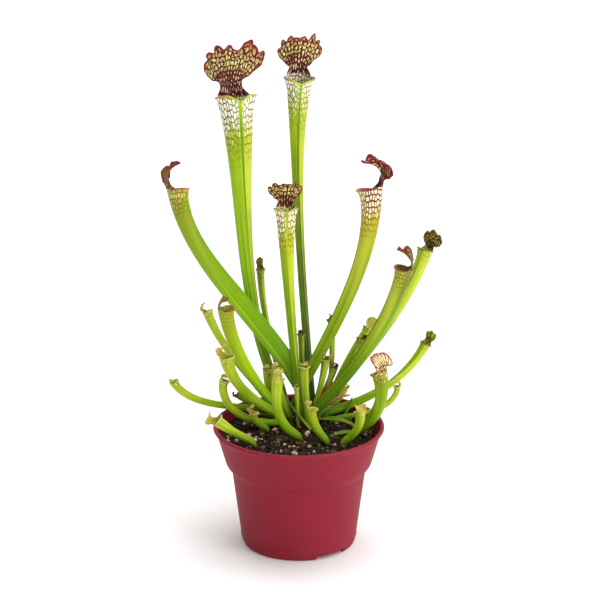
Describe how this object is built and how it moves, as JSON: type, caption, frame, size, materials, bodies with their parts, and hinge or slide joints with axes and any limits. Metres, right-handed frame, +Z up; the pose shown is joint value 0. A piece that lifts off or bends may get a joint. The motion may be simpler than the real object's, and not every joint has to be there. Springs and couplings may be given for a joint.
{
  "type": "potted pitcher plant",
  "caption": "Trumpet pitcher plant with tall white-topped, red-veined pitchers and a tuft of small ones, growing in a round crimson nursery pot with a deep collar.",
  "frame": {"origin": "centre of the flat pad in the middle of the pot's underside, on the surface the pot stands on", "axes": "+Z up along the pot's axis, -Y towards the front of the plant, which the tall pitchers face, +X to its right"},
  "size_m": [0.1967, 0.1484, 0.3458],
  "materials": {
    "pot_plastic": "matte crimson moulded plastic",
    "potting_mix": "dark damp peat with bark and white perlite",
    "rhizome_skin": "rough reddish-brown skin",
    "pitcher_white_top": "waxy yellow-green, cream windows netted with green and maroon veins near the mouth",
    "pitcher_young": "waxy pale yellow-green with pinkish hoods",
    "pitcher_dark": "waxy green with dark brown-red hoods",
    "strap_green": "satin green leaf",
    "strap_dried": "dry papery brown leaf"
  },
  "bodies": {
    "root": {"pot": "pot_plastic", "soil": "potting_mix", "rhizome": "rhizome_skin", "tall_left_pitcher": "pitcher_white_top", "tall_right_pitcher": "pitcher_white_top", "middle_pitcher": "pitcher_white_top", "left_arching_pitcher": "pitcher_white_top", "right_arching_pitcher": "pitcher_white_top", "right_leaning_pitcher": "pitcher_white_top", "far_right_pitcher": "pitcher_dark", "red_hooded_pitcher": "pitcher_white_top", "flared_left_pitcher": "pitcher_young", "veined_right_pitcher": "pitcher_white_top", "front_tall_pitcher": "pitcher_young", "long_right_pitcher": "pitcher_dark", "trailing_left_pitcher": "pitcher_young", "back_left_pitcher": "pitcher_dark", "slender_left_pitcher": "pitcher_young", "curved_left_pitcher": "pitcher_young", "rim_left_pitcher": "pitcher_young", "stub_left_pitcher": "pitcher_young", "pale_back_pitcher": "pitcher_young", "pink_back_pitcher": "pitcher_young", "centre_small_pitcher": "pitcher_young", "front_centre_pitcher": "pitcher_young", "front_right_pitcher": "pitcher_young", "low_right_pitcher": "pitcher_young", "back_right_pitcher": "pitcher_young", "brown_back_pitcher": "pitcher_dark", "back_centre_pitcher": "pitcher_dark", "dark_middle_pitcher": "pitcher_dark", "yellow_centre_pitcher": "pitcher_young", "tan_centre_pitcher": "pitcher_dark", "thin_front_pitcher": "pitcher_young", "dark_left_pitcher": "pitcher_dark", "cream_right_pitcher": "pitcher_young", "dried_strap_leaf": "strap_dried", "front_strap_leaf": "strap_green", "right_strap_leaf": "strap_green", "oval_strap_leaf": "strap_green", "hooked_strap_leaf": "strap_green", "short_strap_leaf": "strap_green", "left_strap_leaf": "strap_green"}
  },
  "joints": []
}
